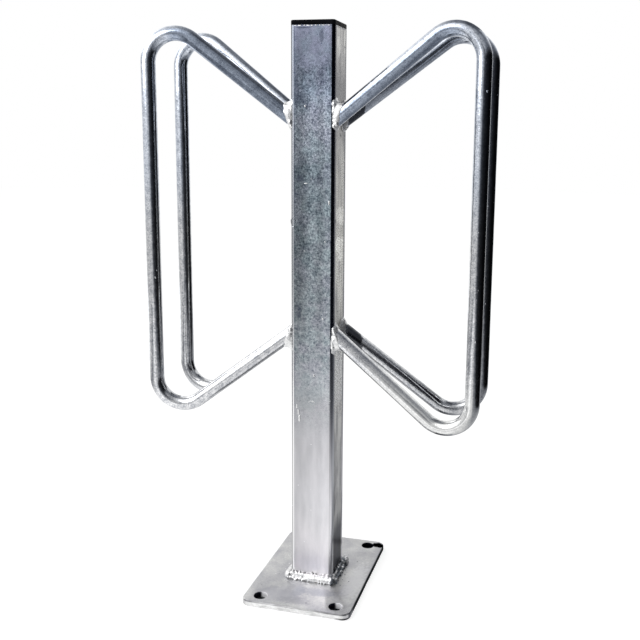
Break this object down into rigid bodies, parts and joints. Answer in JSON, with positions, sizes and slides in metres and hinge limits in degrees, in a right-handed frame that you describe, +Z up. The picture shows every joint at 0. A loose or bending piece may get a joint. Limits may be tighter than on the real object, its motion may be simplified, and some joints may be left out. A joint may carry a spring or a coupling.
{
  "type": "bike parking stand",
  "caption": "Floor-mounted galvanised bicycle stand: a square post on an anchor plate, with flared wheel hoops bent from round bar welded to both sides.",
  "frame": {"origin": "middle of the anchor plate's underside, on the ground under the post", "axes": "+Z up the post, +X out along the right-hand hoops, -Y towards the front of the post"},
  "size_m": [0.4658, 0.215, 0.78],
  "materials": {
    "galvanised_plate": "hot-dip galvanised rolled steel plate, matt pale grey",
    "galvanised_post": "hot-dip galvanised square tube, mottled zinc",
    "galvanised_bar": "hot-dip galvanised round bar, fine bright grain",
    "galvanised_weld": "fillet seam under hot-dip zinc, lumpy and bright",
    "cap_plastic": "black moulded polyethylene, satin"
  },
  "bodies": {
    "root": {"base_plate": "galvanised_plate", "post_tube": "galvanised_post", "end_cap": "cap_plastic", "hoop_left_front": "galvanised_bar", "hoop_left_back": "galvanised_bar", "hoop_right_front": "galvanised_bar", "hoop_right_back": "galvanised_bar", "weld_left_front_upper": "galvanised_weld", "weld_left_front_lower": "galvanised_weld", "weld_left_back_upper": "galvanised_weld", "weld_left_back_lower": "galvanised_weld", "weld_right_front_upper": "galvanised_weld", "weld_right_front_lower": "galvanised_weld", "weld_right_back_upper": "galvanised_weld", "weld_right_back_lower": "galvanised_weld", "foot_weld_front": "galvanised_weld", "foot_weld_back": "galvanised_weld", "foot_weld_left": "galvanised_weld", "foot_weld_right": "galvanised_weld"}
  },
  "joints": []
}
